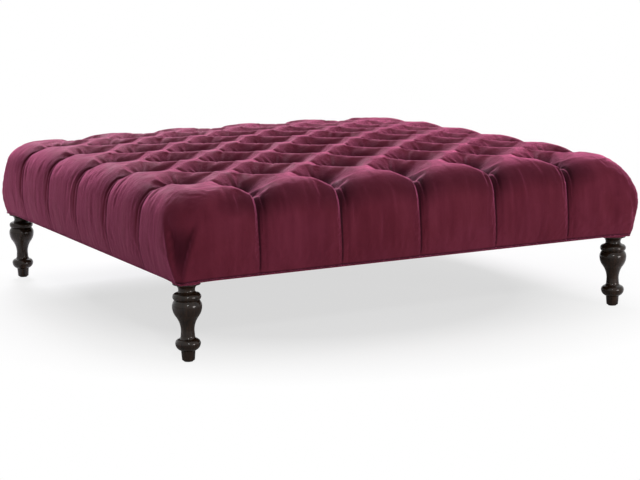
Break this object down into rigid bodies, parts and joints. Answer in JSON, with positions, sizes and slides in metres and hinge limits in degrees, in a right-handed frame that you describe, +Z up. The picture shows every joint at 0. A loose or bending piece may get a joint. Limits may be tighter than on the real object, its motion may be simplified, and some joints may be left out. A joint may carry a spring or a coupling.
{
  "type": "ottoman",
  "caption": "Large square ottoman with a deep diamond-tufted velvet top, pleated sides and turned legs with glossy dark lacquer.",
  "frame": {"origin": "on the floor, under the centre of the square", "axes": "+Z up from the floor; +X to the right and -Y to the front, along two sides of the square"},
  "size_m": [1.2492, 1.2492, 0.409],
  "materials": {
    "velvet": "short-pile burgundy velvet",
    "leg_lacquer": "turned hardwood, dark espresso stain under gloss lacquer",
    "frame_wood": "planed timber, unfinished",
    "deck_ply": "plywood, unfinished",
    "foam": "pale upholstery foam",
    "fibre": "white bonded fibre",
    "dust_cloth": "black non-woven cloth",
    "twine": "waxed cotton twine",
    "steel": "zinc-plated",
    "clip_plastic": "moulded, off-white",
    "glide_plastic": "moulded, dark grey",
    "dowel_wood": "beech, fluted"
  },
  "bodies": {
    "root": {"back_rail": "frame_wood", "back_side_pad": "foam", "brace_screws": "steel", "corner_post_back_left": "frame_wood", "corner_post_back_right": "frame_wood", "corner_post_front_left": "frame_wood", "corner_post_front_right": "frame_wood", "corner_tucks": "velvet", "deck_panel": "deck_ply", "deck_screws": "steel", "dust_cover": "dust_cloth", "edge_band": "velvet", "edge_staples": "steel", "fibre_wrap": "fibre", "foam_core": "foam", "frame_dowels": "dowel_wood", "front_rail": "frame_wood", "front_side_pad": "foam", "left_brace": "frame_wood", "left_rail": "frame_wood", "left_side_pad": "foam", "leg_back_left": "leg_lacquer", "leg_back_right": "leg_lacquer", "leg_bolts": "steel", "leg_front_left": "leg_lacquer", "leg_front_right": "leg_lacquer", "leg_glides": "glide_plastic", "leg_nuts": "steel", "right_brace": "frame_wood", "right_rail": "frame_wood", "right_side_pad": "foam", "tuft_buttons": "velvet", "tuft_twines": "twine", "twine_clips": "clip_plastic", "velvet_cover": "velvet"}
  },
  "joints": []
}
